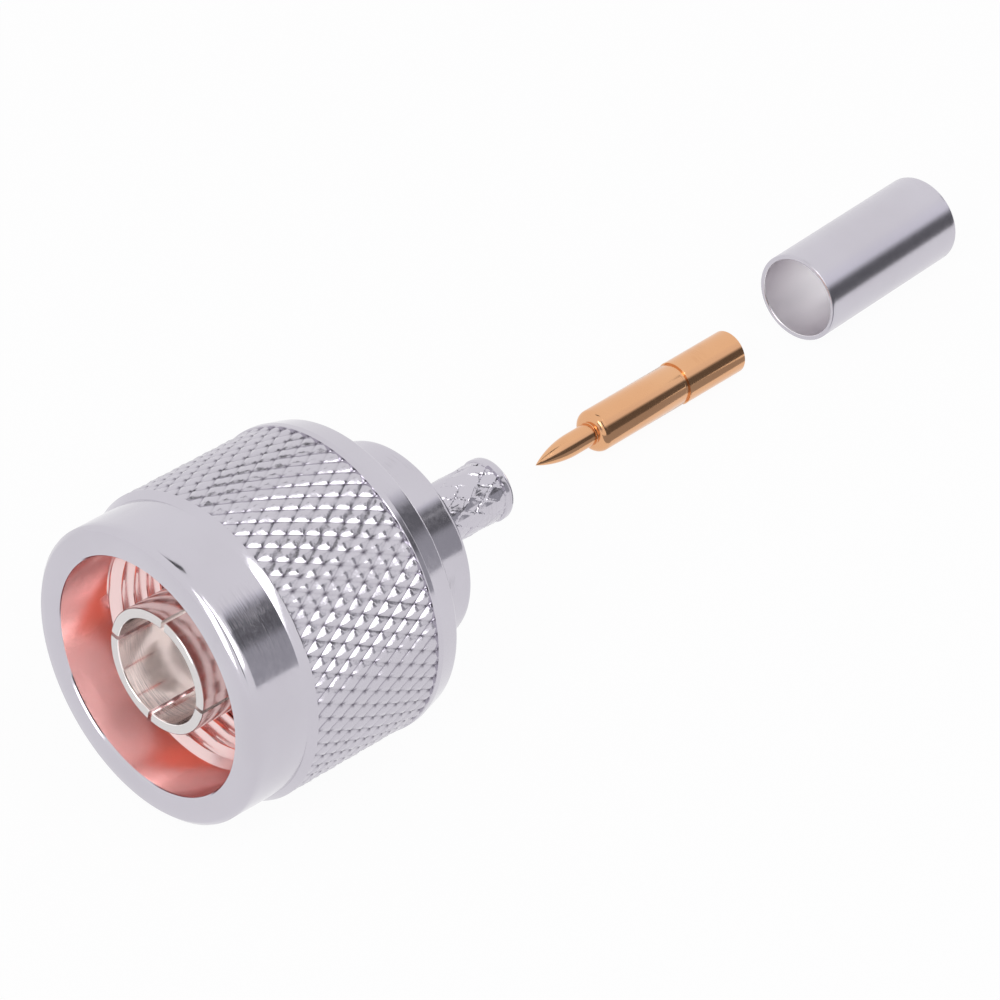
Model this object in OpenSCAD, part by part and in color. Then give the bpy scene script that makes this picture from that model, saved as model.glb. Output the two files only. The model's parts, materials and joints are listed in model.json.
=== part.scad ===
// Coaxial crimp plug with a knurled coupling nut, shown with its centre pin and its crimp
// ferrule laid beside it. Millimetres, +Z up. The plug's axis runs along +Y, from the mating
// end towards the cable. The origin is on that axis, in the plane of the outer contact's front
// edge. All three pieces lie on one flat surface.

/* [Coupling nut] */
// Length of the nut
nut_length = 16.5; // [15:0.1:19]
// How far the nut stands in front of the outer contact
nut_lead = 0.9; // [0.5:0.05:1.2]
// Diameter of the plain band at the nut's front
nut_band_d = 19.8; // [19:0.1:21]
// Diameter over the knurl and the rear band
nut_knurl_d = 20.8; // [20.2:0.1:23]
// Length of the plain front band
nut_front_band = 4.2; // [3:0.1:5]
// Length of the slope from the front band up to the knurl
nut_front_slope = 0.5; // [0.3:0.05:0.8]
// Length of the rear band behind the knurl
nut_rear_band = 2.0; // [1.2:0.1:2.2]
// Length of the rear band's straight part, before it slopes inwards
nut_rear_straight = 0.4; // [0.3:0.05:0.9]
// How much smaller the nut's radius is at its rear edge than over the knurl
nut_rear_drop = 0.35; // [0.1:0.05:0.9]
// Number of diamonds around the knurl
knurl_count = 60; // [40:2:80]
// Length of one diamond of the knurl along the axis
knurl_diamond = 1.92; // [1.4:0.04:2.6]
// Depth of the grooves between the diamonds
knurl_depth = 0.42; // [0.2:0.02:0.48]
// Rounding of the nut's outer edges
nut_edge = 0.25; // [0.1:0.05:0.4]
// Diameter of the smooth mouth in front of the thread
nut_mouth_d = 15.9; // [15.88:0.02:16.2]
// Depth of the smooth mouth
nut_mouth_depth = 3.9; // [2:0.1:4.5]
// Chamfer at the lip of the mouth
nut_lip = 0.2; // [0.1:0.05:0.4]
// Length of the slope from the mouth down to the thread
nut_lead_in = 0.7; // [0.4:0.1:1.2]
// Diameter at the thread's crests
thread_minor_d = 14.8; // [14.6:0.02:14.9]
// Diameter of the recess behind the thread
thread_relief_d = 16.0; // [15.9:0.1:16.4]

/* [Rear body] */
// Diameter of the hub that the nut turns on
hub_d = 12.4; // [11.8:0.1:12.8]
// Length of the hub, from its front face to the flange
hub_length = 7.0; // [6.5:0.1:7.5]
// Diameter of the flange behind the nut
flange_d = 13.6; // [13.2:0.1:15]
// Length of the flange
flange_length = 4.2; // [3:0.1:6]
// Chamfer on the flange's edges
flange_edge = 0.15; // [0.05:0.05:0.4]
// Wall of the crimp stem
stem_wall = 0.5; // [0.45:0.05:0.8]
// Length of the crimp stem
stem_length = 8.5; // [6:0.1:11]
// Rounding of the stem's free end
stem_round = 0.4; // [0.2:0.05:0.42]
// Clearance around the pin's rear barrel as it passes through the stem
pin_passage_gap = 0.07; // [0.04:0.01:0.15]
// Depth of the groove for the snap ring
ring_groove_depth = 0.65; // [0.5:0.05:0.75]

/* [Outer contact] */
// Outside diameter of the spring fingers
contact_d = 8.4; // [8.2:0.02:8.6]
// Inside diameter of the spring fingers
contact_bore_d = 7.0; // [6.8:0.02:7.2]
// Diameter of the stretch pressed into the body
contact_seat_d = 8.8; // [8.7:0.02:9.2]
// Length of the stretch pressed into the body
contact_seat_length = 4.3; // [3.5:0.1:4.8]
// Number of spring fingers
finger_count = 4; // [3:1:6]
// Width of the slots between the fingers
slot_width = 0.3; // [0.2:0.05:0.6]
// Solid stretch between the slots and the gasket
slot_setback = 0.7; // [0.4:0.1:2]
// Turn of the first slot from the upward direction, in degrees
slot_turn = 12; // [0:1:89]
// Rounding of the contact's front edges
contact_edge = 0.15; // [0.05:0.05:0.25]

/* [Insulator] */
// Diameter of the insulator's nose, inside the outer contact
insulator_nose_d = 7.4; // [7.3:0.02:7.6]
// Length of the insulator's nose
insulator_nose = 4.6; // [4:0.1:5]
// Length of the insulator's shoulder, trapped behind the outer contact
insulator_shoulder = 1.6; // [1.2:0.1:2]
// Length of the insulator's tail
insulator_tail = 3.0; // [2:0.1:3.4]
// Diameter of the insulator's tail
insulator_tail_d = 6.4; // [6:0.1:6.8]
// Chamfer at the rear end of the insulator's bore, which guides the pin in
insulator_lead_in = 0.6; // [0.4:0.1:0.8]
// Clearance between the insulator and the metal around it
insulator_gap = 0.03; // [0.02:0.01:0.05]

/* [Gasket] */
// Outside diameter of the gasket
gasket_d = 14.2; // [13.6:0.1:14.4]
// Thickness of the gasket
gasket_thickness = 1.5; // [1:0.1:1.8]
// Clearance between the gasket and the outer contact
gasket_gap = 0.05; // [0.03:0.01:0.1]

/* [Snap ring] */
// Thickness of the snap ring along the axis
ring_thickness = 0.9; // [0.7:0.05:1]
// How far the snap ring stands out of the hub
ring_stand = 0.7; // [0.5:0.05:0.75]
// Width of the snap ring's split
ring_split = 1.6; // [1:0.1:2.5]
// How far the nut can float along the axis
nut_float = 0.4; // [0.2:0.05:0.5]

/* [Running clearances] */
// Radial clearance between the nut and the hub
nut_running_gap = 0.05; // [0.02:0.01:0.1]
// Clearance of the snap ring in its grooves
ring_gap = 0.05; // [0.03:0.01:0.08]
// Distance by which the nut's front land stays behind the hub's front edge when the nut is forward
land_setback = 1.2; // [0.8:0.1:1.5]
// Width of the nut's land in front of the snap ring
ring_land = 1.0; // [0.8:0.1:1.2]
// Gap between the nut and the flange with the nut fully back
nut_flange_gap = 0.08; // [0.05:0.01:0.15]

/* [Centre pin] */
// Diameter of the pin's mating tip
tip_d = 1.6; // [1.5:0.02:1.7]
// Length of the pin's mating tip
tip_length = 5.3; // [5:0.1:6]
// Length of the pointed end of the tip
tip_point = 3.6; // [3:0.1:4]
// Diameter of the pin's front barrel
pin_front_d = 3.04; // [2.9:0.02:3.1]
// Length of the front barrel
pin_front_length = 8.6; // [8:0.1:9.2]
// Rounding of the shoulder behind the tip
pin_shoulder_round = 0.6; // [0.3:0.05:0.7]
// Diameter of the pin's rear barrel
pin_rear_d = 3.16; // [3.12:0.01:3.18]
// Length of the rear barrel
pin_rear_length = 5.7; // [5:0.1:6.5]
// Depth of the stop groove between the barrels
pin_groove_depth = 0.12; // [0.05:0.01:0.2]
// Length of the stop groove
pin_groove_length = 0.3; // [0.2:0.05:0.4]
// Diameter of the hole for the cable's conductor
conductor_bore_d = 1.0; // [0.9:0.02:1.3]
// Depth of the conductor's hole
conductor_bore_depth = 5.0; // [4:0.1:5.5]

/* [Crimp ferrule] */
// Space around the crimp stem inside the ferrule, which the cable's braid and jacket fill
cable_space = 0.75; // [0.6:0.05:1]
// Wall of the ferrule
ferrule_wall = 0.35; // [0.3:0.01:0.45]
// Length of the ferrule
ferrule_length = 14.2; // [11:0.1:16]
// Rounding of the ferrule's edges
ferrule_edge = 0.1; // [0.05:0.01:0.14]

/* [Layout] */
// Sideways place of the pin's point
pin_x = -9.1; // [-14:0.1:-9]
// Distance of the pin's point behind the outer contact's front edge
pin_y = 41.4; // [38:0.1:46]
// Turn of the pin from the plug's axis, in degrees
pin_turn = 1.9; // [0:0.1:4]
// Sideways place of the ferrule's front end
ferrule_x = -9.4; // [-14:0.1:-9]
// Distance of the ferrule's front end behind the outer contact's front edge
ferrule_y = 67.5; // [66:0.1:72]
// Turn of the ferrule from the plug's axis, in degrees
ferrule_turn = 4.4; // [0:0.1:8]

/* [Hidden] */
$fn = 96;
overrun = 1;
stem_round_limit = 0.95;

// Stations along the axis, from the outer contact's front edge
nut_front = -nut_lead;
nut_rear = nut_front + nut_length;
flange_front = nut_rear + nut_flange_gap;
hub_front = flange_front - hub_length;
flange_rear = flange_front + flange_length;
stem_rear = flange_rear + stem_length;
lead_in_front = nut_front + nut_mouth_depth;
thread_front = lead_in_front + nut_lead_in;
thread_rear = hub_front;

// Knurled stretch of the nut. The knurl's sleeve starts under the front band's surface, covers
// the core and ends inside the rear band.
slope_front = nut_front + nut_front_band;
knurl_front = slope_front + nut_front_slope;
knurl_rear = nut_rear - nut_rear_band;
knurl_pitch = knurl_diamond / 2;
knurl_rings = ceil((knurl_rear - knurl_front) / knurl_pitch);
knurl_root_r = nut_knurl_d / 2 - knurl_depth;
knurl_core_gap = 0.12;
knurl_core_r = knurl_root_r - knurl_core_gap;
knurl_sink = 0.15;
knurl_sleeve_wall = 0.5;

// Snap ring and the two grooves that hold it
hub_groove_d = hub_d - 2 * ring_groove_depth;
ring_d = hub_d + 2 * ring_stand;
ring_bore_d = hub_groove_d + 4 * ring_gap;
nut_groove_d = ring_d + 4 * ring_gap;
nut_bore_d = hub_d + 2 * nut_running_gap;
relief_rear = hub_front + land_setback + nut_float;
nut_groove_front = relief_rear + ring_land;
nut_groove_rear = nut_groove_front + ring_thickness + 2 * ring_gap;
ring_front = nut_groove_front + ring_gap;
hub_groove_front = ring_front - nut_float - ring_gap;
hub_groove_rear = ring_front + ring_thickness + ring_gap;

// Outer contact, gasket, insulator, crimp stem and ferrule
gasket_front = hub_front - gasket_thickness;
slot_rear = gasket_front - slot_setback;
contact_rear = hub_front + contact_seat_length;
insulator_front = contact_rear - insulator_nose;
shoulder_rear = contact_rear + insulator_gap + insulator_shoulder;
tail_rear = shoulder_rear + insulator_tail;
insulator_bore_d = pin_rear_d + 2 * insulator_gap;
insulator_shoulder_d = contact_seat_d - 2 * insulator_gap;
stem_bore_d = pin_rear_d + 2 * pin_passage_gap;
stem_d = stem_bore_d + 2 * stem_wall;
stem_edge = min(stem_round, stem_round_limit * stem_wall);
ferrule_bore_d = stem_d + 2 * cable_space;
ferrule_d = ferrule_bore_d + 2 * ferrule_wall;

// Height of the plug's axis above the surface that the pieces lie on
rest_z = -nut_knurl_d / 2;

silver = [0.80, 0.79, 0.82];
gold = [0.86, 0.66, 0.47];
silicone_red = [0.78, 0.28, 0.24];
ptfe_white = [0.93, 0.93, 0.91];

// Turns a profile of [radius, station] points about the Y axis
module turned(profile) {
    rotate([-90, 0, 0]) rotate_extrude($fn = 180) polygon(profile);
}

// A round hole along Y between two stations
module bored(d, from, to) {
    translate([0, from, 0]) rotate([-90, 0, 0]) cylinder(d = d, h = to - from, $fn = 180);
}

// Places a piece turned about Z, with its axis at a height above the resting surface
module laid(x, y, turn, radius) {
    translate([x, y, rest_z + radius]) rotate([0, 0, turn]) children();
}

// Points of a quarter round from angle a to angle b, about a centre
function arc(centre, radius, a, b, steps = 6) =
    [for (i = [0 : steps]) centre + radius * [cos(a + (b - a) * i / steps), sin(a + (b - a) * i / steps)]];

// One ring of points at a station. Every second point is a crest, and which ones changes with
// the ring's parity. An even ring and an odd ring follow each other, so the crests make diamonds.
function knurl_ring(station, crest_r, root_r, parity) =
    [for (i = [0 : 2 * knurl_count - 1])
        let (a = 180 * i / knurl_count, r = (i + parity) % 2 == 0 ? crest_r : root_r)
        [r * cos(a), station, r * sin(a)]];

// The strip of triangles between ring a and ring b. The triangles meet along the grooves.
function knurl_strip(a, b) =
    let (n = 2 * knurl_count)
    [for (i = [0 : n - 1])
        let (j = (i + 1) % n, crest_first = (i + a) % 2 == 0)
        each crest_first
            ? [[a * n + i, a * n + j, b * n + i], [a * n + j, b * n + j, b * n + i]]
            : [[a * n + i, a * n + j, b * n + j], [a * n + i, b * n + j, b * n + i]]];

module knurl_sleeve() {
    crest_r = nut_knurl_d / 2;
    start_r = nut_band_d / 2 - knurl_sink;
    inner_r = min(start_r, knurl_core_r) - knurl_sleeve_wall;
    sleeve_rear = knurl_rear + nut_rear_straight / 2;
    rings = concat(
        [knurl_ring(slope_front, start_r, start_r, 0)],
        [for (k = [1 : knurl_rings])
            knurl_ring(knurl_front + (k - 1) * knurl_pitch, crest_r, knurl_root_r, k)],
        [knurl_ring(sleeve_rear, knurl_root_r, knurl_root_r, 0),
         knurl_ring(sleeve_rear, inner_r, inner_r, 0),
         knurl_ring(slope_front, inner_r, inner_r, 0)]);
    last = len(rings) - 1;
    polyhedron(
        points = [for (ring = rings) each ring],
        faces = [for (k = [0 : last]) each knurl_strip(k, (k + 1) % (last + 1))]);
}

module coupling_nut() {
    band_r = nut_band_d / 2;
    knurl_r = nut_knurl_d / 2;
    rear_r = knurl_r - nut_rear_drop;
    outside = concat(
        arc([band_r - nut_edge, nut_front + nut_edge], nut_edge, -90, 0),
        [[band_r, slope_front],
         [knurl_core_r, knurl_front],
         [knurl_core_r, knurl_rear],
         [knurl_r, knurl_rear],
         [knurl_r, knurl_rear + nut_rear_straight]],
        arc([rear_r - nut_edge, nut_rear - nut_edge], nut_edge, 20, 90));
    mouth_r = nut_mouth_d / 2;
    inside = [
        [nut_bore_d / 2, nut_rear],
        [nut_bore_d / 2, nut_groove_rear],
        [nut_groove_d / 2, nut_groove_rear],
        [nut_groove_d / 2, nut_groove_front],
        [nut_bore_d / 2, nut_groove_front],
        [nut_bore_d / 2, relief_rear],
        [thread_relief_d / 2, relief_rear],
        [thread_relief_d / 2, thread_rear],
        [thread_minor_d / 2, thread_rear],
        [thread_minor_d / 2, thread_front],
        [mouth_r, lead_in_front],
        [mouth_r, nut_front + nut_lip],
        [mouth_r + nut_lip, nut_front]];
    color(silver) {
        turned(concat(outside, inside));
        knurl_sleeve();
    }
}

module connector_body() {
    stem_r = stem_d / 2;
    bore_r = stem_bore_d / 2;
    flange_r = flange_d / 2;
    outside = concat(
        [[contact_seat_d / 2, hub_front],
         [hub_d / 2 - flange_edge, hub_front],
         [hub_d / 2, hub_front + flange_edge],
         [hub_d / 2, hub_groove_front],
         [hub_groove_d / 2, hub_groove_front],
         [hub_groove_d / 2, hub_groove_rear],
         [hub_d / 2, hub_groove_rear],
         [hub_d / 2, flange_front],
         [flange_r - flange_edge, flange_front],
         [flange_r, flange_front + flange_edge],
         [flange_r, flange_rear - flange_edge],
         [flange_r - flange_edge, flange_rear],
         [stem_r, flange_rear]],
        arc([stem_r - stem_edge, stem_rear - stem_edge], stem_edge, 0, 90));
    inside = [
        [bore_r, stem_rear],
        [bore_r, tail_rear],
        [insulator_tail_d / 2 + insulator_gap, tail_rear],
        [insulator_tail_d / 2 + insulator_gap, shoulder_rear],
        [contact_seat_d / 2, shoulder_rear]];
    color(silver) turned(concat(outside, inside));
}

module outer_contact() {
    outer_r = contact_d / 2;
    inner_r = contact_bore_d / 2;
    seat_r = contact_seat_d / 2;
    nose_r = insulator_nose_d / 2 + insulator_gap;
    profile = concat(
        [[nose_r, contact_rear],
         [nose_r, insulator_front],
         [inner_r, insulator_front]],
        arc([inner_r + contact_edge, contact_edge], contact_edge, 180, 270),
        arc([outer_r - contact_edge, contact_edge], contact_edge, -90, 0),
        [[outer_r, gasket_front],
         [seat_r, gasket_front],
         [seat_r, contact_rear]]);
    color(silver) difference() {
        turned(profile);
        for (i = [0 : finger_count - 1])
            rotate([0, slot_turn + i * 360 / finger_count, 0])
                translate([-slot_width / 2, -overrun, 0])
                    cube([slot_width, slot_rear + overrun, contact_d]);
    }
}

module insulator() {
    bore_r = insulator_bore_d / 2;
    color(ptfe_white) turned([
        [bore_r, insulator_front],
        [insulator_nose_d / 2, insulator_front],
        [insulator_nose_d / 2, contact_rear + insulator_gap],
        [insulator_shoulder_d / 2, contact_rear + insulator_gap],
        [insulator_shoulder_d / 2, shoulder_rear],
        [insulator_tail_d / 2, shoulder_rear],
        [insulator_tail_d / 2, tail_rear],
        [bore_r + insulator_lead_in, tail_rear],
        [bore_r, tail_rear - insulator_lead_in]]);
}

module gasket() {
    inner_r = contact_seat_d / 2 + gasket_gap;
    outer_r = gasket_d / 2;
    color(silicone_red) turned([
        [inner_r, gasket_front],
        [outer_r, gasket_front],
        [outer_r, hub_front],
        [inner_r, hub_front]]);
}

module snap_ring() {
    color(silver) difference() {
        turned([
            [ring_bore_d / 2, ring_front],
            [ring_d / 2, ring_front],
            [ring_d / 2, ring_front + ring_thickness],
            [ring_bore_d / 2, ring_front + ring_thickness]]);
        translate([-ring_split / 2, ring_front - overrun, 0])
            cube([ring_split, ring_thickness + 2 * overrun, ring_d]);
    }
}

// The point is an ogive: an arc that meets the tip's cylinder without a corner
function ogive(radius, length, steps = 14) =
    let (swing = (radius * radius + length * length) / (2 * radius))
    [for (i = [0 : steps])
        let (s = length * i / steps)
        [sqrt(swing * swing - pow(length - s, 2)) + radius - swing, s]];

module contact_pin() {
    front_r = pin_front_d / 2;
    rear_r = pin_rear_d / 2;
    barrel_rear = tip_length + pin_front_length;
    pin_rear = barrel_rear + pin_rear_length;
    profile = concat(
        ogive(tip_d / 2, tip_point),
        [[tip_d / 2, tip_length]],
        arc([front_r - pin_shoulder_round, tip_length + pin_shoulder_round], pin_shoulder_round, -90, 0),
        [[front_r, barrel_rear - pin_groove_length],
         [front_r - pin_groove_depth, barrel_rear - pin_groove_length],
         [front_r - pin_groove_depth, barrel_rear],
         [rear_r, barrel_rear],
         [rear_r, pin_rear],
         [0, pin_rear]]);
    color(gold) laid(pin_x, pin_y, pin_turn, rear_r) difference() {
        turned(profile);
        bored(conductor_bore_d, pin_rear - conductor_bore_depth, pin_rear + overrun);
    }
}

module crimp_ferrule() {
    outer_r = ferrule_d / 2;
    inner_r = ferrule_bore_d / 2;
    color(silver) laid(ferrule_x, ferrule_y, ferrule_turn, outer_r) turned(concat(
        [[inner_r, ferrule_length]],
        arc([inner_r + ferrule_edge, ferrule_edge], ferrule_edge, 180, 270),
        arc([outer_r - ferrule_edge, ferrule_edge], ferrule_edge, -90, 0),
        arc([outer_r - ferrule_edge, ferrule_length - ferrule_edge], ferrule_edge, 0, 90)));
}

coupling_nut();
connector_body();
outer_contact();
insulator();
gasket();
snap_ring();
contact_pin();
crimp_ferrule();
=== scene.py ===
import json
import math

import bpy
import numpy as np
from mathutils import Matrix, Vector


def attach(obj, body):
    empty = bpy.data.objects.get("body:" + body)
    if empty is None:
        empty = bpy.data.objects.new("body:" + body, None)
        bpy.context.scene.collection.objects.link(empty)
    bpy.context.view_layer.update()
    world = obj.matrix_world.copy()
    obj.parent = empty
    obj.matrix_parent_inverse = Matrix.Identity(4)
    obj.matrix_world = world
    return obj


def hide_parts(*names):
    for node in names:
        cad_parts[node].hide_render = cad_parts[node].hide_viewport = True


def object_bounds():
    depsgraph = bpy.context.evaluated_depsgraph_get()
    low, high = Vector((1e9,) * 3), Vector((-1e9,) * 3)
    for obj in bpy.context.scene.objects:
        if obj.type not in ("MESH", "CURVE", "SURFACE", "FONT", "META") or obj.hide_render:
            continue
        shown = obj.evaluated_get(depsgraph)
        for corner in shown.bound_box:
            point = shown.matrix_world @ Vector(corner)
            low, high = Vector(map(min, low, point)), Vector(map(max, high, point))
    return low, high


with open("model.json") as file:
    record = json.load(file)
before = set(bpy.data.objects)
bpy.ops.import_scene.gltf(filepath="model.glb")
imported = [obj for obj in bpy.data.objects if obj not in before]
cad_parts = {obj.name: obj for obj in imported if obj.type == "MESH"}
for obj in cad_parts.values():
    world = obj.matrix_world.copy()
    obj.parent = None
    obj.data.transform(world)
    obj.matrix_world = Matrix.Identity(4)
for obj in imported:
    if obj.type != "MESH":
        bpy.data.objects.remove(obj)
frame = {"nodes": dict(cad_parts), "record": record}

CAD_BOX = [list(corner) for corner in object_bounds()]

# Sizes are in millimetres up to new_object(), and stations run along +Y from the outer
# contact's front edge. Lamps, cards, the camera and all material scales are in metres.

# Coupling nut: its ends, its outside from front to rear, and its inside from front to rear
NUT_FRONT, NUT_REAR = -0.9, 15.6
SLOPE_FRONT, KNURL_FRONT, KNURL_REAR, REAR_SLOPE = 3.3, 3.8, 13.6, 14.0
BAND_R, CREST_R, REAR_R = 9.9, 10.4, 10.05
MOUTH_R, LEAD_IN_FRONT, THREAD_FRONT, THREAD_REAR = 7.95, 3.0, 3.7, 8.68
THREAD_CREST_R, THREAD_ROOT_R, THREAD_PITCH = 7.4, 7.95, 25.4 / 24
THREAD_FLANK, THREAD_FLAT = 0.80, 0.12   # a flank in half pitches, and the flat root in flanks
THREAD_CELLS = 12                # rings of mesh in one pitch
RELIEF_R, RELIEF_REAR = 8.0, 10.28
NUT_BORE_R = 6.25
NUT_GROOVE_FRONT, NUT_GROOVE_REAR, NUT_GROOVE_R = 11.28, 12.28, 7.0
MOUTH_ROUND = 0.2                # rounding of the mouth's edge
CHAMFER = 0.36                   # the front band's chamfer
EASE_ALONG, EASE_ACROSS = 0.07, 0.03   # softening of that chamfer's two edges
REAR_ROUND, REAR_CONE = 0.25, 14       # rounding of the rear edge, and where it starts, in degrees
SHELL_INSIDE_R, SHELL_REAR_R = 8.3, 7.6   # where the shell's mesh closes, behind the thread's

# Plug body: the hub inside the nut, the flange behind it and the crimp stem
HUB_FRONT, HUB_R, FLANGE_FRONT, FLANGE_REAR = 8.68, 6.2, 15.68, 19.88
HUB_GROOVE_FRONT, HUB_GROOVE_REAR, HUB_GROOVE_R = 10.88, 12.28, 5.55
FLANGE_R, STEM_R, STEM_BORE_R, STEM_REAR = 6.8, 2.15, 1.65, 28.38
SEAT_R, SEAT_REAR = 4.4, 14.61   # pocket for the outer contact and the insulator's shoulder
TAIL_R, TAIL_REAR = 3.23, 17.61  # pocket for the insulator's tail
BODY_EDGE = 0.15                 # rounding of the body's edges

# Centre pin, from its tip
TIP_LENGTH, TIP_R, NECK_REAR = 3.6, 0.8, 5.3
PIN_R, PIN_SHOULDER = 1.52, 0.6
PIN_GROOVE_FRONT, PIN_GROOVE_REAR, PIN_GROOVE_R = 13.6, 13.9, 1.42
PIN_BARREL_R, PIN_REAR, CRIMP_BORE_R, CRIMP_BORE_FRONT = 1.58, 19.6, 0.5, 14.6
PIN_MOUNT_STATION = 4.5          # where the record's mount pin_tip lies on the pin

# Crimp ferrule
FERRULE_R, FERRULE_BORE_R, FERRULE_LENGTH = 3.25, 2.9, 14.2
FERRULE_EDGE, FERRULE_FLARE = 0.1, 0.12   # rounding of its edges and of its mouth

# Diamond patterns, rolled into the nut and the stem
KNURL_COUNT = 60      # diamonds around the nut
KNURL_LENGTH = 1.92   # length of one diamond along the axis
KNURL_CELLS = 12      # mesh cells across one diamond, each way
KNURL_CROWN = 0.11    # how much a diamond falls from its middle to each pair of edges
KNURL_GROOVE = 0.33   # half width of the groove between diamonds, as a share of a diamond
KNURL_CUT = 0.10      # depth of that groove
FACET_TILT = 0.03     # how unevenly the diamonds were rolled
GROOVE_CURVE = 1.4    # above 1, a groove's walls grow steeper towards its bottom
SHADE_LINE_WIDTH, SHADE_PIT_WIDTH = 0.12, 0.20   # half widths of the painted shade in a groove and at a crossing
LINE_SHADE_STRENGTH, PIT_SHADE_STRENGTH = 0.12, 1.1    # how strong the painted shade is in each of them
STEM_COUNT, STEM_DIAMOND = 12, 2.0   # diamonds around the crimp stem, and their length
STEM_GROOVE, STEM_CUT, STEM_CROWN, STEM_TILT = 0.12, 0.06, 0.03, 0.06
STEM_CELLS, STEM_STEP = 12, 0.1      # mesh cells across a diamond, and their length


# ---------------------------------------------------------------- meshes

def new_object(name, verts, faces, sharp_deg=28):
    """A smooth-shaded mesh object from points in millimetres. Its edges are sharp where two
    faces meet at more than the angle."""
    mesh = bpy.data.meshes.new(name)
    mesh.from_pydata((np.asarray(verts, float) / 1000).tolist(), [], faces)
    mesh.validate()
    mesh.shade_smooth()
    mesh.set_sharp_from_angle(angle=math.radians(sharp_deg))
    obj = bpy.data.objects.new(name, mesh)
    bpy.context.scene.collection.objects.link(obj)
    return obj


def circle(segments):
    """Angles of the points around one ring."""
    return np.arange(segments) * 2 * math.pi / segments


def ring_grid(rings, segments, closed=False):
    """Points and faces of a surface about the Y axis. Each ring is a station and a radius, or
    a station and one radius for each point. A quad between two uneven rings is split along
    the diagonal that is more level."""
    rows = len(rings)
    angle = circle(segments)
    r = np.array([np.broadcast_to(radius, segments) for _, radius in rings])
    y = np.broadcast_to(np.array([station for station, _ in rings], float)[:, None], r.shape)
    verts = np.stack([r * np.cos(angle), y, r * np.sin(angle)], -1).reshape(-1, 3)
    faces = []
    last = rows if closed else rows - 1
    for k in range(last):
        a, b = r[k], r[(k + 1) % rows]
        plain = np.ptp(a) < 1e-6 and np.ptp(b) < 1e-6
        base, above = k * segments, ((k + 1) % rows) * segments
        for i in range(segments):
            j = (i + 1) % segments
            p, q, s, t = base + i, base + j, above + j, above + i
            if plain:
                faces.append((p, t, s, q))
            elif abs(a[i] - b[j]) < abs(a[j] - b[i]):
                faces += [(p, t, s), (p, s, q)]
            else:
                faces += [(p, t, q), (t, s, q)]
    return verts, faces


def arc(cy, cr, radius, start, end, steps=8):
    """(station, radius) points of a round about a centre, from one angle to another."""
    return [(cy + radius * math.sin(a), cr + radius * math.cos(a))
            for a in np.radians(np.linspace(start, end, steps + 1))]


def turned(name, profile, segments=192, closed=True):
    """A lathe-turned piece from (station, radius) points. Its attribute lathe keeps each
    point's place before the piece is laid down, for materials that follow the turning."""
    verts, faces = ring_grid(profile, segments, closed)
    obj = new_object(name, verts, faces)
    own = obj.data.attributes.new("lathe", "FLOAT_VECTOR", "POINT")
    own.data.foreach_set("vector", (np.asarray(verts, np.float32) / 1000).ravel())
    return obj


def second_finish(obj, finishes, test):
    """Gives a turned piece two finishes: the second where test(radius, station) holds."""
    for finish in finishes:
        obj.data.materials.append(finish)
    for face in obj.data.polygons:
        centre = face.center * 1000
        if test(math.hypot(centre.x, centre.z), centre.y):
            face.material_index = 1


def finish_piece(obj, body, cad_node, material):
    """Rides the piece on its body, in place of a CAD node and material."""
    if not obj.data.materials:
        obj.data.materials.append(material)
    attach(obj, body)
    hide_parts(cad_node)


# ---------------------------------------------------------------- materials

# Noise scales are one metre over the size of a feature.
CLOUD_SCALE, PATCH_SCALE, SCORE_SCALE = 160, 300, 700
SCORE_STRETCH = (1, 16, 1)             # scores are narrow along the axis and long around it
SCORE_LINES = (0.46, 0.62)             # noise from which a score starts, and from which it is full
MANY_PATCHES, FEW_PATCHES = (0.30, 0.45), (0.56, 0.68)   # the same for the patches of scores
WORN_SPOT = (0.0074, 0.0014, 0.0064)   # fine scratches on the nut's front band
WORN_REACH = (0.0008, 0.0028)          # full within the first distance, none past the second
SOFT_CLOUD_SCALE, SOFT_SKIN_SCALE = 600, 4000   # rubber and PTFE: their tones and their skin
SOFT_SKIN, SOFT_SKIN_STRENGTH = 0.00005, 0.1
SOFT_ROUGH_SPREAD = 0.06               # how far the roughness strays from its middle
SCATTER_DEPTH = 0.0006                 # how deep light goes into rubber and PTFE


def new_material(name):
    """A material with its node tree and its Principled shader."""
    mat = bpy.data.materials.new(name)
    mat.use_nodes = True
    tree = mat.node_tree
    return mat, tree, tree.nodes["Principled BSDF"]


def node(tree, kind, **values):
    """A shader node with its properties or inputs set by name."""
    made = tree.nodes.new(kind)
    for key, value in values.items():
        if key in made.inputs:
            made.inputs[key].default_value = value
        else:
            setattr(made, key, value)
    return made


def noise(tree, coords, scale, stretch=(1, 1, 1), detail=4.0):
    """Noise on the given coordinates, stretched along axes."""
    mapping = node(tree, "ShaderNodeMapping")
    mapping.inputs["Scale"].default_value = stretch
    tree.links.new(coords, mapping.inputs["Vector"])
    made = node(tree, "ShaderNodeTexNoise", Scale=scale, Detail=detail)
    tree.links.new(mapping.outputs["Vector"], made.inputs["Vector"])
    return made.outputs["Fac"]


def ranged(tree, value, low, high, from_low=0.3, from_high=0.7):
    """A value carried from one range to another, and held at its ends. Noise lies mostly
    between 0.3 and 0.7."""
    made = node(tree, "ShaderNodeMapRange")
    made.inputs["From Min"].default_value = from_low
    made.inputs["From Max"].default_value = from_high
    made.inputs["To Min"].default_value = low
    made.inputs["To Max"].default_value = high
    tree.links.new(value, made.inputs["Value"])
    return made.outputs["Result"]


def blended(tree, low, high, share):
    """A colour between two, by a share from 0 to 1."""
    mix = node(tree, "ShaderNodeMix", data_type="RGBA")
    mix.inputs["A"].default_value = (*low, 1)
    mix.inputs["B"].default_value = (*high, 1)
    tree.links.new(share, mix.inputs["Factor"])
    return mix.outputs["Result"]


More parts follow.
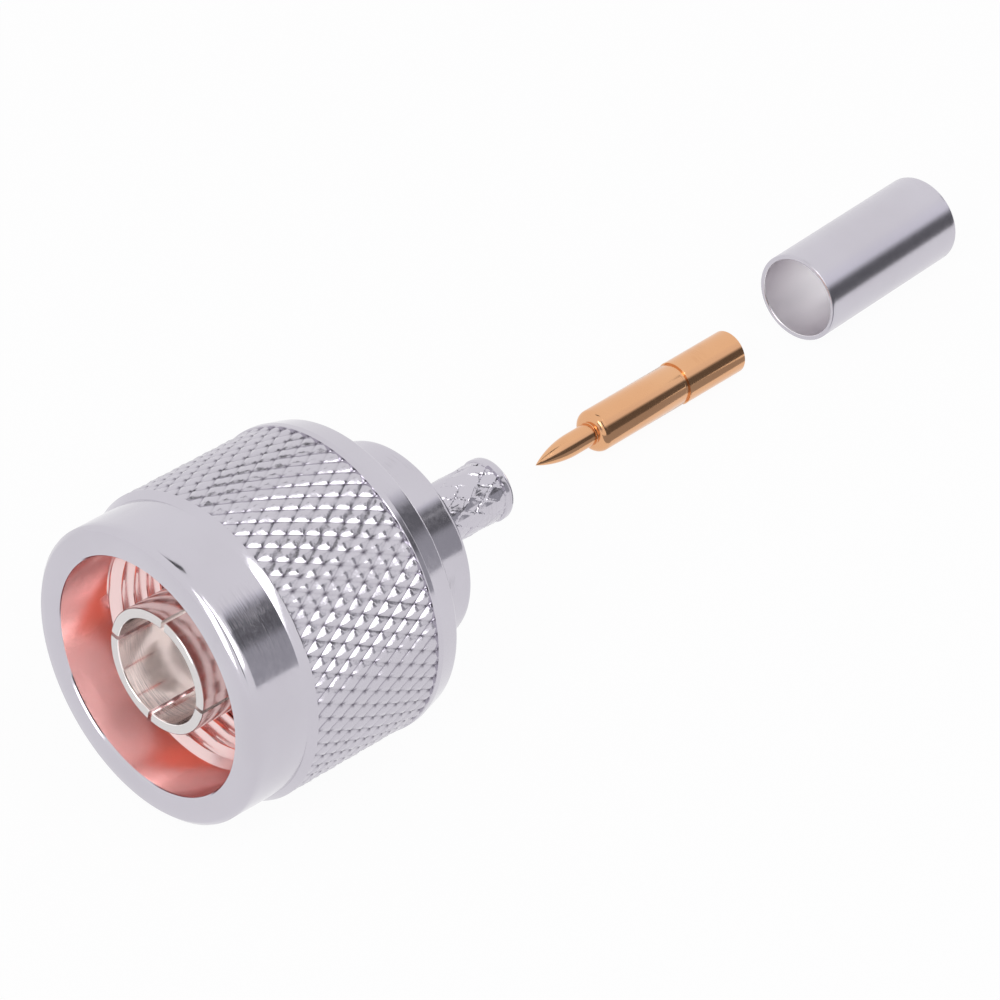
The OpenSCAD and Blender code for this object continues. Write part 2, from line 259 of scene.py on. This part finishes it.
def overlaid(tree, under, colour, share):
    """One colour laid over a varying one, by a share from 0 to 1."""
    mix = node(tree, "ShaderNodeMix", data_type="RGBA")
    tree.links.new(under, mix.inputs["A"])
    mix.inputs["B"].default_value = (*colour, 1)
    tree.links.new(share, mix.inputs["Factor"])
    return mix.outputs["Result"]


def product(tree, a, b):
    """Two values multiplied."""
    made = node(tree, "ShaderNodeMath", operation="MULTIPLY")
    tree.links.new(a, made.inputs[0])
    tree.links.new(b, made.inputs[1])
    return made.outputs["Value"]


def bumped(tree, height, distance, normal=None, strength=1.0):
    """A bump of the given height in metres, on top of another bump if there is one."""
    made = node(tree, "ShaderNodeBump", Strength=strength, Distance=distance)
    tree.links.new(height, made.inputs["Height"])
    if normal is not None:
        tree.links.new(normal, made.inputs["Normal"])
    return made.outputs["Normal"]


def near(tree, coords, place, core, reach):
    """1 up to the distance core from a place, falling to 0 at the distance reach."""
    away = node(tree, "ShaderNodeVectorMath", operation="DISTANCE")
    tree.links.new(coords, away.inputs[0])
    away.inputs[1].default_value = place
    return ranged(tree, away.outputs["Value"], 1, 0, core, reach)


def within(tree, coords, radius):
    """1 closer to the Y axis than the radius, otherwise 0."""
    flat = node(tree, "ShaderNodeVectorMath", operation="MULTIPLY")
    flat.inputs[1].default_value = (1, 0, 1)
    tree.links.new(coords, flat.inputs[0])
    length = node(tree, "ShaderNodeVectorMath", operation="LENGTH")
    tree.links.new(flat.outputs["Vector"], length.inputs[0])
    inner = node(tree, "ShaderNodeMath", operation="LESS_THAN")
    inner.inputs[1].default_value = radius
    tree.links.new(length.outputs["Value"], inner.inputs[0])
    return inner.outputs["Value"]


def plated(name, colour, dull_colour, rough=(0.09, 0.16), coords_from="Object", grain=2600,
           skin=1.0e-7, scored=5.0e-7, wear=0.12, worn_at=None, bore=None, painted_shade=None):
    """Metal plating on a turned piece: two close tones, uneven polish, a fine skin of bumps,
    and patches of fine scores that run around the piece, darker in their bottoms.

    coords_from is Object, or the attribute that holds the surface's own places. grain is the
    scale of the skin and skin its height. scored is the depth of the scores and wear how much
    darker they are; with worn_at they lie only near that place. bore is (radius, colour) of the
    surface nearer to the axis; that colour is painted light in the bore. The last argument is the
    colour of painted shade, laid where the point attribute of the same name is 1."""
    mat, tree, shader = new_material(name)
    shader.inputs["Metallic"].default_value = 1.0
    if coords_from == "Object":
        coords = node(tree, "ShaderNodeTexCoord").outputs["Object"]
    else:
        coords = node(tree, "ShaderNodeAttribute", attribute_name=coords_from).outputs["Vector"]
    cloudy = noise(tree, coords, CLOUD_SCALE)
    fine = noise(tree, coords, grain, detail=6)
    patches = ranged(tree, noise(tree, coords, PATCH_SCALE, detail=2), 0, 1,
                     *(MANY_PATCHES if worn_at else FEW_PATCHES))
    if worn_at:
        patches = product(tree, patches, near(tree, coords, worn_at, *WORN_REACH))
    lines = noise(tree, coords, SCORE_SCALE, SCORE_STRETCH)
    scores = product(tree, ranged(tree, lines, 0, 1, *SCORE_LINES), patches)
    tone = blended(tree, colour, dull_colour, ranged(tree, cloudy, 0, 1))
    if bore:
        radius, bore_colour = bore
        tone = overlaid(tree, tone, bore_colour, within(tree, coords, radius))
    # painted shade: a dark colour laid on where the point attribute is 1, in the knurl's grooves
    # and pits
    if painted_shade:
        amount = node(tree, "ShaderNodeAttribute", attribute_name="painted_shade").outputs["Fac"]
        tone = overlaid(tree, tone, painted_shade, amount)
    worn_colour = [(1 - wear) * value for value in dull_colour]
    tone = overlaid(tree, tone, worn_colour, scores)
    tree.links.new(tone, shader.inputs["Base Color"])
    tree.links.new(ranged(tree, fine, *rough), shader.inputs["Roughness"])
    skin_normal = bumped(tree, fine, skin)
    tree.links.new(bumped(tree, scores, scored, skin_normal), shader.inputs["Normal"])
    return mat


def soft_material(name, colour, dull_colour, rough, subsurface, spread=(1, 1, 1)):
    """Rubber or PTFE: slightly uneven colour, a satin surface and a little light inside."""
    mat, tree, shader = new_material(name)
    coords = node(tree, "ShaderNodeTexCoord").outputs["Object"]
    cloudy = noise(tree, coords, SOFT_CLOUD_SCALE)
    tone = blended(tree, colour, dull_colour, ranged(tree, cloudy, 0, 1))
    tree.links.new(tone, shader.inputs["Base Color"])
    satin = ranged(tree, cloudy, rough - SOFT_ROUGH_SPREAD, rough + SOFT_ROUGH_SPREAD)
    tree.links.new(satin, shader.inputs["Roughness"])
    shader.inputs["Subsurface Weight"].default_value = subsurface
    shader.inputs["Subsurface Radius"].default_value = spread
    shader.inputs["Subsurface Scale"].default_value = SCATTER_DEPTH
    skin = bumped(tree, noise(tree, coords, SOFT_SKIN_SCALE), SOFT_SKIN,
                  strength=SOFT_SKIN_STRENGTH)
    tree.links.new(skin, shader.inputs["Normal"])
    return mat


SILVER, DULL_SILVER = (0.60, 0.575, 0.635), (0.57, 0.545, 0.60)
NUT_METAL = plated("nut_plating", SILVER, DULL_SILVER, scored=1.6e-6, worn_at=WORN_SPOT)
# the knurl: its plating, with painted shade of colour (0.10, 0.085, 0.12) in its grooves and pits
KNURL_METAL = plated("nut_knurl", SILVER, DULL_SILVER, (0.14, 0.22), grain=5500, skin=5e-6,
                     scored=0.0, wear=0.0, painted_shade=(0.10, 0.085, 0.12))
# the nut's inside: lighter and pinker than its outer plating, a painted reddish reflection of the
# gasket and painted light in the mouth
NUT_INSIDE = plated("nut_inside", (0.90, 0.68, 0.67), (0.89, 0.665, 0.655), (0.19, 0.21),
                    skin=1e-8, scored=0.0, wear=0.0)
BODY_METAL = plated("body_plating", SILVER, DULL_SILVER)
# the outer contact: its bore is painted lighter and warmer than its outside, painted light inside
# the sleeve
CONTACT_METAL = plated("contact_plating", (0.70, 0.67, 0.67), (0.67, 0.64, 0.64),
                       scored=0.0, wear=0.0, bore=(0.00356, (0.94, 0.89, 0.88)))
RING_METAL = plated("ring_plating", (0.60, 0.58, 0.60), (0.52, 0.50, 0.52), (0.2, 0.3))
FERRULE_METAL = plated("ferrule_plating", SILVER, DULL_SILVER, (0.20, 0.24), "lathe", skin=3e-8,
                       scored=0.0, wear=0.0)
# the ferrule's bore: painted lighter than its outside, painted light inside the tube
FERRULE_INSIDE = plated("ferrule_inside", (0.92, 0.90, 0.92), (0.89, 0.87, 0.89), (0.28, 0.34),
                        "lathe", scored=0.0, wear=0.0)
GOLD = plated("pin_gold", (0.78, 0.44, 0.24), (0.75, 0.40, 0.21), (0.12, 0.16), "lathe",
              skin=3e-8, scored=1e-7, wear=0.05)
SILICONE = soft_material("silicone", (0.84, 0.21, 0.14), (0.79, 0.18, 0.12), 0.45, 0.1,
                         (1.0, 0.25, 0.15))
PTFE = soft_material("ptfe", (0.93, 0.89, 0.87), (0.90, 0.86, 0.83), 0.4, 0.3)


# ---------------------------------------------------------------- diamond patterns

def scatter(i, j, seed):
    """An even, repeatable scatter from -1 to 1 for whole numbers i and j."""
    mixed = np.sin(i * 12.9898 + j * 78.233 + seed * 37.719) * 43758.5453
    return 2 * (mixed - np.floor(mixed)) - 1


def diamond_fall(around, along, count, groove, cut_depth, crown, tilt):
    """How far a rolled diamond pattern lies below its crests. The pattern has count diamonds
    around it; around and along are counted in diamonds."""
    phases = (around + along, around - along)
    cells = [np.floor(phase) for phase in phases]
    fall = np.zeros_like(phases[0])
    flat = np.ones_like(phases[0])
    for phase in phases:
        part = np.abs(phase - np.round(phase))
        cut = np.maximum(0, 1 - part / groove) ** GROOVE_CURVE
        fall = np.maximum(fall, cut_depth * cut + crown * (1 - 2 * part))
        flat *= 1 - cut
    row, column = (cells[0] + cells[1]) % (2 * count), cells[0] - cells[1]
    for seed, (phase, cell) in enumerate(zip(phases, cells)):
        fall += tilt * flat * (1 + scatter(row, column, seed) * 2 * (phase - cell - 0.5))
    return fall


def knurl_place(station, angle):
    """Places on the nut's knurl, counted in diamonds around it and along it."""
    return angle / (2 * math.pi) * KNURL_COUNT, (station - KNURL_FRONT) / KNURL_LENGTH


def knurl_radii(station, angle):
    """Radius of the nut's knurled surface."""
    around, along = knurl_place(station, angle)
    return CREST_R - diamond_fall(around, along, KNURL_COUNT, KNURL_GROOVE, KNURL_CUT,
                                  KNURL_CROWN, FACET_TILT)


def knurl_painted_shade(station, angle):
    """Painted shade on the nut's knurl: in the grooves, and most where they cross."""
    around, along = knurl_place(station, angle)
    parts = [np.abs(phase - np.round(phase)) for phase in (around + along, around - along)]
    lines = np.maximum(0, 1 - np.minimum(*parts) / SHADE_LINE_WIDTH)
    pits = np.maximum(0, 1 - np.maximum(*parts) / SHADE_PIT_WIDTH)
    return np.minimum(1, LINE_SHADE_STRENGTH * lines + PIT_SHADE_STRENGTH * pits)


# ---------------------------------------------------------------- coupling nut

def nut_front_rings():
    """The mouth's rounded edge, the front face with its chamfer, and the plain front band."""
    rings = [(NUT_FRONT + MOUTH_ROUND, MOUTH_R), (NUT_FRONT + 0.12, MOUTH_R + 0.03),
             (NUT_FRONT + 0.03, MOUTH_R + 0.12), (NUT_FRONT, MOUTH_R + MOUTH_ROUND),
             (NUT_FRONT, 9.0)]
    rings += [(NUT_FRONT, BAND_R - CHAMFER),
              (NUT_FRONT + EASE_ACROSS, BAND_R - CHAMFER + EASE_ALONG),
              (NUT_FRONT + CHAMFER - EASE_ALONG, BAND_R - EASE_ACROSS),
              (NUT_FRONT + CHAMFER, BAND_R)]
    rings += [(y, BAND_R) for y in np.linspace(0, SLOPE_FRONT - 0.05, 8)]
    return rings + [(SLOPE_FRONT, BAND_R)]


def nut_rear_rings():
    """The rear band, its cone and rounded edge, and back through the bore to the mouth."""
    rear_round = arc(NUT_REAR - REAR_ROUND, REAR_R - REAR_ROUND, REAR_ROUND, REAR_CONE, 90, 6)
    slope = (rear_round[0][1] - CREST_R) / (rear_round[0][0] - REAR_SLOPE)
    rings = [(KNURL_REAR + 0.06, CREST_R), (REAR_SLOPE - 0.03, CREST_R), (REAR_SLOPE, CREST_R)]
    rings += [(REAR_SLOPE + s, CREST_R + s * slope) for s in (0.03, 0.5, 1.0, 1.35)]
    rings += rear_round
    rings += [(NUT_REAR, NUT_BORE_R + 0.2), (NUT_REAR - 0.2, NUT_BORE_R),
              (NUT_GROOVE_REAR, NUT_BORE_R), (NUT_GROOVE_REAR, SHELL_REAR_R)]
    return rings + [(LEAD_IN_FRONT, SHELL_INSIDE_R), (NUT_FRONT + 0.3, SHELL_INSIDE_R)]


def make_nut_shell():
    """The nut's outside as one closed shell: its front, the knurl, and its rear with the bore."""
    segments = KNURL_COUNT * KNURL_CELLS
    angle = circle(segments)
    rings = nut_front_rings()
    rings += [(KNURL_FRONT - 0.1, CREST_R - 0.1), (KNURL_FRONT - 0.04, CREST_R - 0.07)]
    rings += [(y, knurl_radii(y, angle))
              for y in np.arange(KNURL_FRONT, KNURL_REAR, KNURL_LENGTH / KNURL_CELLS)]
    rings += [(KNURL_REAR, knurl_radii(KNURL_REAR, angle)), (KNURL_REAR + 0.02, CREST_R - 0.03)]
    rings += nut_rear_rings()
    verts, faces = ring_grid(rings, segments, True)
    nut = new_object("coupling_nut_shell", verts, faces, 24)
    second_finish(nut, (NUT_METAL, KNURL_METAL), lambda radius, station:
                  radius > BAND_R and KNURL_FRONT < station < KNURL_REAR)
    # painted shade in the knurl's grooves, strongest where they cross
    dark = [knurl_painted_shade(y, angle) if KNURL_FRONT <= y <= KNURL_REAR else 0 * angle
            for y, _ in rings]
    painted_shade = nut.data.attributes.new("painted_shade", "FLOAT", "POINT")
    painted_shade.data.foreach_set("value", np.asarray(dark, np.float32).ravel())
    finish_piece(nut, "coupling_nut", "coupling_nut", NUT_METAL)


def thread_radii(station, angle):
    """Radius inside the nut's thread: flat roots and crests, and a lead-in cone in front."""
    phase = (station / THREAD_PITCH + angle / (2 * math.pi)) % 1.0
    height = np.clip(np.abs(phase - 0.5) * 2 / THREAD_FLANK - THREAD_FLAT, 0, 1)
    thread = THREAD_ROOT_R - (THREAD_ROOT_R - THREAD_CREST_R) * height
    cone = MOUTH_R - (station - LEAD_IN_FRONT) / (THREAD_FRONT - LEAD_IN_FRONT) * (
        MOUTH_R - THREAD_CREST_R)
    return np.maximum(np.maximum(cone, thread), THREAD_CREST_R)


def make_nut_thread():
    """The nut's inside: mouth wall, thread, relief and the snap ring's groove."""
    segments = 256
    angle = circle(segments)
    rings = [(y, MOUTH_R) for y in np.linspace(NUT_FRONT + 0.2, LEAD_IN_FRONT, 6)[:-1]]
    rings += [(y, thread_radii(y, angle))
              for y in np.arange(LEAD_IN_FRONT, THREAD_REAR, THREAD_PITCH / THREAD_CELLS)]
    rings += [(THREAD_REAR, RELIEF_R), (RELIEF_REAR, RELIEF_R), (RELIEF_REAR, NUT_BORE_R),
              (NUT_GROOVE_FRONT, NUT_BORE_R), (NUT_GROOVE_FRONT, NUT_GROOVE_R),
              (NUT_GROOVE_REAR, NUT_GROOVE_R), (NUT_GROOVE_REAR, NUT_BORE_R)]
    rings.reverse()
    verts, faces = ring_grid(rings, segments)
    thread = new_object("coupling_nut_thread", verts, faces, 30)
    finish_piece(thread, "coupling_nut", "coupling_nut", NUT_INSIDE)


# ---------------------------------------------------------------- body, contact and seals

def make_body():
    """The hub and the flange, with the pockets for what they hold."""
    profile = [(HUB_FRONT, SEAT_R), (HUB_FRONT, HUB_R - BODY_EDGE), (HUB_FRONT + BODY_EDGE, HUB_R),
               (HUB_GROOVE_FRONT, HUB_R), (HUB_GROOVE_FRONT, HUB_GROOVE_R),
               (HUB_GROOVE_REAR, HUB_GROOVE_R), (HUB_GROOVE_REAR, HUB_R), (FLANGE_FRONT, HUB_R),
               (FLANGE_FRONT, FLANGE_R - BODY_EDGE), (FLANGE_FRONT + 0.04, FLANGE_R - 0.04),
               (FLANGE_FRONT + BODY_EDGE, FLANGE_R)]
    profile += [(y, FLANGE_R) for y in np.linspace(FLANGE_FRONT + 0.3, FLANGE_REAR - 0.3, 6)]
    profile += [(FLANGE_REAR - BODY_EDGE, FLANGE_R), (FLANGE_REAR - 0.04, FLANGE_R - 0.04),
                (FLANGE_REAR, FLANGE_R - BODY_EDGE), (FLANGE_REAR, STEM_R - 0.05),
                (FLANGE_REAR, STEM_BORE_R), (TAIL_REAR, STEM_BORE_R), (TAIL_REAR, TAIL_R),
                (SEAT_REAR, TAIL_R), (SEAT_REAR, SEAT_R)]
    body = turned("plug_body", profile, 256)
    finish_piece(body, "connector", "connector_body", BODY_METAL)


def stem_radii(station, angle):
    """Radius of the crimp stem's knurled surface."""
    around = angle / (2 * math.pi) * STEM_COUNT
    return STEM_R - diamond_fall(around, station / STEM_DIAMOND, STEM_COUNT, STEM_GROOVE,
                                 STEM_CUT, STEM_CROWN, STEM_TILT)


def make_stem():
    """The crimp stem, knurled between two plain ends, with a rounded rear edge."""
    segments = STEM_COUNT * STEM_CELLS
    angle = circle(segments)
    rings = [(FLANGE_REAR, STEM_BORE_R), (FLANGE_REAR, STEM_R - 0.12)]
    rings += [(y, stem_radii(y, angle))
              for y in np.arange(FLANGE_REAR + 0.5, STEM_REAR - 0.75, STEM_STEP)]
    rings += [(STEM_REAR - 0.7, STEM_R)]
    rings += arc(STEM_REAR - 0.42, STEM_R - 0.42, 0.42, 0, 90)
    rings += [(STEM_REAR - 0.05, STEM_BORE_R), (FLANGE_REAR, STEM_BORE_R)]
    verts, faces = ring_grid(rings, segments)
    stem = new_object("crimp_stem", verts, faces, 24)
    finish_piece(stem, "connector", "connector_body", BODY_METAL)


def paint(name, material):
    """Gives a CAD node that stays in view its material."""
    obj = frame["nodes"][name]
    obj.data.materials.clear()
    obj.data.materials.append(material)


# ---------------------------------------------------------------- loose pieces

def mount(name):
    """(place in millimetres, direction) of one of the record's mounts."""
    row = next(m for m in frame["record"]["mounts"] if m["name"] == name)
    return Vector(row["pos_m"]) * 1000, Vector(row["axis"])


def lay(obj, point, axis, station):
    """Moves a turned piece so that its own station lies on the point, along the axis."""
    turn = axis.to_track_quat("Y", "Z").to_matrix().to_4x4()
    obj.data.transform(Matrix.Translation((point - axis * station) / 1000) @ turn)


def make_pin():
    """The centre pin: an ogive tip, a neck, a barrel with a groove and a crimp barrel."""
    ogive = (TIP_R ** 2 + TIP_LENGTH ** 2) / (2 * TIP_R)
    profile = [(0.0, 0.0)]
    for s in np.linspace(0.05, TIP_LENGTH, 20):
        profile.append((s, math.sqrt(ogive ** 2 - (TIP_LENGTH - s) ** 2) + TIP_R - ogive))
    profile += [(NECK_REAR - 0.05, TIP_R), (NECK_REAR, TIP_R + 0.03), (NECK_REAR, TIP_R + 0.1)]
    profile += arc(NECK_REAR + PIN_SHOULDER, PIN_R - PIN_SHOULDER, PIN_SHOULDER, -90, 0, 10)
    profile += [(PIN_GROOVE_FRONT - 0.1, PIN_R), (PIN_GROOVE_FRONT - 0.04, PIN_R - 0.02),
                (PIN_GROOVE_FRONT, PIN_GROOVE_R), (PIN_GROOVE_REAR, PIN_GROOVE_R),
                (PIN_GROOVE_REAR, PIN_BARREL_R - 0.04), (PIN_GROOVE_REAR + 0.05, PIN_BARREL_R),
                (PIN_REAR - 0.1, PIN_BARREL_R), (PIN_REAR, PIN_BARREL_R - 0.1),
                (PIN_REAR, CRIMP_BORE_R + 0.05), (PIN_REAR - 0.05, CRIMP_BORE_R),
                (CRIMP_BORE_FRONT, CRIMP_BORE_R), (CRIMP_BORE_FRONT - 0.2, 0.0)]
    pin = turned("centre_pin", profile, 128, closed=False)
    point, axis = mount("pin_tip")
    lay(pin, point, -axis, PIN_MOUNT_STATION)
    finish_piece(pin, "connector", "contact_pin", GOLD)


def make_ferrule():
    """The crimp ferrule: a thin tube with rounded ends, plated outside and duller inside, with
    painted light in its bore.
    """
    edge_r = FERRULE_R - FERRULE_EDGE
    profile = arc(FERRULE_FLARE, FERRULE_BORE_R + FERRULE_FLARE, FERRULE_FLARE, -180, -90, 4)
    profile += arc(FERRULE_EDGE, edge_r, FERRULE_EDGE, -90, 0, 4)
    profile += [(y, FERRULE_R) for y in np.linspace(0.3, FERRULE_LENGTH - 0.3, 8)]
    profile += arc(FERRULE_LENGTH - FERRULE_EDGE, edge_r, FERRULE_EDGE, 0, 90, 4)
    profile += [(FERRULE_LENGTH, FERRULE_BORE_R + 0.02), (FERRULE_LENGTH - 0.05, FERRULE_BORE_R)]
    ferrule = turned("ferrule_tube", profile)
    second_finish(ferrule, (FERRULE_METAL, FERRULE_INSIDE), lambda radius, station:
                  radius < FERRULE_BORE_R + 0.05)
    point, axis = mount("ferrule_bore")
    lay(ferrule, point, axis, FERRULE_LENGTH / 2)
    finish_piece(ferrule, "connector", "crimp_ferrule", FERRULE_METAL)


# ---------------------------------------------------------------- stage, light and camera

FLOOR_SIZE = 6
FLOOR_COLOUR = (0.90, 0.89, 0.91, 1)
FLOOR_GLOW = 0.95      # share of plain white in what background rays see of the floor
ROOM_COLOUR = (0.62, 0.61, 0.63, 1)
CARD_BLUE = 1.06       # how much more blue than red and green a card has
GLOSSY_BOUNCES = 9     # enough for light to find its way out of the nut
SENSOR_WIDTH, FOCAL_LENGTH = 36.0, 179.9532   # the camera's, in millimetres
CAMERA_PLACE = (0.187355, -0.155871, 0.177347)
CAMERA_BACK = Vector((0.58884, -0.58125, 0.56162))
CAMERA_RIGHT = Vector((0.70250, 0.71168, 0.0))


def glossy_only(obj):
    """Seen in reflections alone, so that it neither shows nor casts a shadow."""
    for kind in ("camera", "diffuse", "transmission", "volume_scatter", "shadow"):
        setattr(obj, "visible_" + kind, False)


def card(name, centre, size, towards, ramp, strength=1.0):
    """A flat studio card that only reflections see, in metres, aimed at a place. ramp is a
    list of (height, brightness) pairs, from 0 at the card's lower edge to 1 at its upper."""
    bpy.ops.mesh.primitive_plane_add(size=1, location=centre)
    obj = bpy.context.object
    obj.name = name
    obj.scale = (size[0], size[1], 1)
    obj.rotation_mode = "QUATERNION"
    obj.rotation_quaternion = (Vector(towards) - Vector(centre)).to_track_quat("Z", "Y")
    mat = bpy.data.materials.new(name)
    mat.use_nodes = True
    tree = mat.node_tree
    tree.nodes.clear()
    place = node(tree, "ShaderNodeTexCoord").outputs["Generated"]
    parts = node(tree, "ShaderNodeSeparateXYZ")
    tree.links.new(place, parts.inputs["Vector"])
    steps = node(tree, "ShaderNodeValToRGB")
    while len(steps.color_ramp.elements) < len(ramp):
        steps.color_ramp.elements.new(0.5)
    for element, (height, shade) in zip(steps.color_ramp.elements, ramp):
        element.position = height
        element.color = (shade, shade, min(1.0, shade * CARD_BLUE), 1)
    tree.links.new(parts.outputs["Y"], steps.inputs["Fac"])
    emission = node(tree, "ShaderNodeEmission", Strength=strength)
    tree.links.new(steps.outputs["Color"], emission.inputs["Color"])
    out = node(tree, "ShaderNodeOutputMaterial")
    tree.links.new(emission.outputs["Emission"], out.inputs["Surface"])
    obj.data.materials.append(mat)
    glossy_only(obj)


def seen_rays(tree):
    """1 for the rays that see the background: the camera's, and those off metal or glass."""
    path = node(tree, "ShaderNodeLightPath")
    total = path.outputs["Is Camera Ray"]
    for name in ("Is Glossy Ray", "Is Transmission Ray"):
        both = node(tree, "ShaderNodeMath", operation="MAXIMUM")
        tree.links.new(total, both.inputs[0])
        tree.links.new(path.outputs[name], both.inputs[1])
        total = both.outputs["Value"]
    return total


def make_floor(z):
    """A wide floor that takes soft shadows. Rays that see the background see it almost white."""
    bpy.ops.mesh.primitive_plane_add(size=FLOOR_SIZE, location=(0, 0, z))
    floor = bpy.context.object
    floor.name = "floor"
    mat = bpy.data.materials.new("floor")
    mat.use_nodes = True
    tree = mat.node_tree
    shader = tree.nodes["Principled BSDF"]
    shader.inputs["Base Color"].default_value = FLOOR_COLOUR
    shader.inputs["Roughness"].default_value = 0.9
    shader.inputs["Specular IOR Level"].default_value = 0.0
    light = node(tree, "ShaderNodeEmission", Strength=1.0)
    mix = node(tree, "ShaderNodeMixShader")
    share = node(tree, "ShaderNodeMath", operation="MULTIPLY")
    share.inputs[1].default_value = FLOOR_GLOW
    tree.links.new(seen_rays(tree), share.inputs[0])
    tree.links.new(share.outputs["Value"], mix.inputs["Fac"])
    tree.links.new(shader.outputs["BSDF"], mix.inputs[1])
    tree.links.new(light.outputs["Emission"], mix.inputs[2])
    tree.links.new(mix.outputs["Shader"], tree.nodes["Material Output"].inputs["Surface"])
    floor.data.materials.append(mat)


def make_world():
    """A pale grey room for the light that falls on matt surfaces, white for the rest."""
    world = bpy.data.worlds.new("studio")
    bpy.context.scene.world = world
    world.use_nodes = True
    tree = world.node_tree
    room = tree.nodes["Background"]
    room.inputs["Color"].default_value = ROOM_COLOUR
    room.inputs["Strength"].default_value = 1.0
    white = node(tree, "ShaderNodeBackground", Strength=1.0)
    white.inputs["Color"].default_value = (1, 1, 1, 1)
    mix = node(tree, "ShaderNodeMixShader")
    tree.links.new(seen_rays(tree), mix.inputs["Fac"])
    tree.links.new(room.outputs["Background"], mix.inputs[1])
    tree.links.new(white.outputs["Background"], mix.inputs[2])
    tree.links.new(mix.outputs["Shader"], tree.nodes["World Output"].inputs["Surface"])


def lamp(name, kind, place, towards, power, **settings):
    """A lamp at a place in metres, aimed at another, with its power in watts."""
    data = bpy.data.lights.new(name, kind)
    data.energy = power
    for key, value in settings.items():
        setattr(data, key, value)
    obj = bpy.data.objects.new(name, data)
    bpy.context.scene.collection.objects.link(obj)
    obj.location = place
    obj.rotation_mode = "QUATERNION"
    obj.rotation_quaternion = (Vector(towards) - Vector(place)).to_track_quat("-Z", "Y")
    return obj


def make_lights():
    """A soft box in front, a long box beside, and a small fill into the nut's mouth."""
    lamp("soft_box", "AREA", (0.30, -0.78, 0.42), (0, 0, 0), 2.6,
         shape="RECTANGLE", size=0.35, size_y=0.75)
    fill = lamp("mouth_fill", "SPOT", (0.02, -0.30, 0.03), (0, 0, 0), 2.7,
                spot_size=math.radians(4.0), spot_blend=0.3, shadow_soft_size=0.01)
    fill.visible_glossy = False
    lamp("side_box", "AREA", (0.63, 0.16, 0.62), (0, 0.008, 0), 1.5,
         shape="RECTANGLE", size=0.2, size_y=0.84)


def make_cards():
    """The dark and bright cards that the metal reflects."""
    # behind and beside the plug: the dark bands on its flange, its stem and the nut's cone
    card("dark_room", (0.345, 0.272, 0.17), (0.15, 0.34), (0, 0.01, 0.17),
         [(0.0, 0.42), (0.50, 0.40), (0.62, 0.15), (1.0, 0.15)])
    card("dark_shelf", (0.294, 0.327, 0.395), (0.19, 0.13), (0, 0.01, 0.395),
         [(0.0, 0.15), (0.35, 0.18), (1.0, 0.95)])
    card("dark_corner", (0.130, 0.432, 0.125), (0.23, 0.25), (0, 0.01, 0.125),
         [(0.0, 0.42), (0.45, 0.40), (0.60, 0.16), (0.85, 0.16), (1.0, 0.95)])
    # to the side and in front: dark lines in the knurl and on the pin's tip
    card("dark_side", (0.375, -0.11, 0.31), (0.22, 0.50), (0, 0, 0),
         [(0.0, 0.05), (1.0, 0.05)])
    # low and far behind, and bright: light edges on metal that faces the rear
    card("far_strip", (0.06, 0.60, 0.05), (0.22, 0.12), (0, 0, 0), [(0.0, 1.0), (1.0, 1.0)], 2.6)
    # overhead: the dark sides of the knurl's diamonds
    card("ceiling", (-0.125, 0.122, 0.57), (0.25, 0.085), (0, 0.008, 0), [(0.0, 0.06), (1.0, 0.06)])
    # close to the loose pieces, beside them and below the pin: the streaks along them
    card("side_screen", (0.0062, 0.085, 0.0096), (0.090, 0.04), (-0.02, 0.085, 0.0096),
         [(0.0, 0.14), (0.24, 0.12), (0.36, 0.9), (1.0, 1.0)])
    card("pin_strip", (0.0, 0.0535, -0.0102), (0.014, 0.025), (0.0, 0.0535, 0.1),
         [(0.0, 0.4), (1.0, 0.4)])


def make_camera():
    """The camera that the photograph was fitted with."""
    data = bpy.data.cameras.new("camera")
    data.sensor_width, data.lens = SENSOR_WIDTH, FOCAL_LENGTH
    data.clip_start, data.clip_end = 0.01, 10.0
    camera = bpy.data.objects.new("camera", data)
    bpy.context.scene.collection.objects.link(camera)
    turn = Matrix((CAMERA_RIGHT, CAMERA_BACK.cross(CAMERA_RIGHT), CAMERA_BACK)).transposed()
    camera.matrix_world = Matrix.Translation(CAMERA_PLACE) @ turn.to_4x4()
    bpy.context.scene.camera = camera


make_nut_shell()
make_nut_thread()
make_body()
make_stem()
make_pin()
make_ferrule()
paint("outer_contact", CONTACT_METAL)
paint("insulator", PTFE)
paint("gasket", SILICONE)
paint("snap_ring", RING_METAL)
make_floor(CAD_BOX[0][2])
make_world()
make_lights()
make_cards()
make_camera()
bpy.context.scene.view_settings.view_transform = "Standard"
bpy.context.scene.cycles.glossy_bounces = GLOSSY_BOUNCES
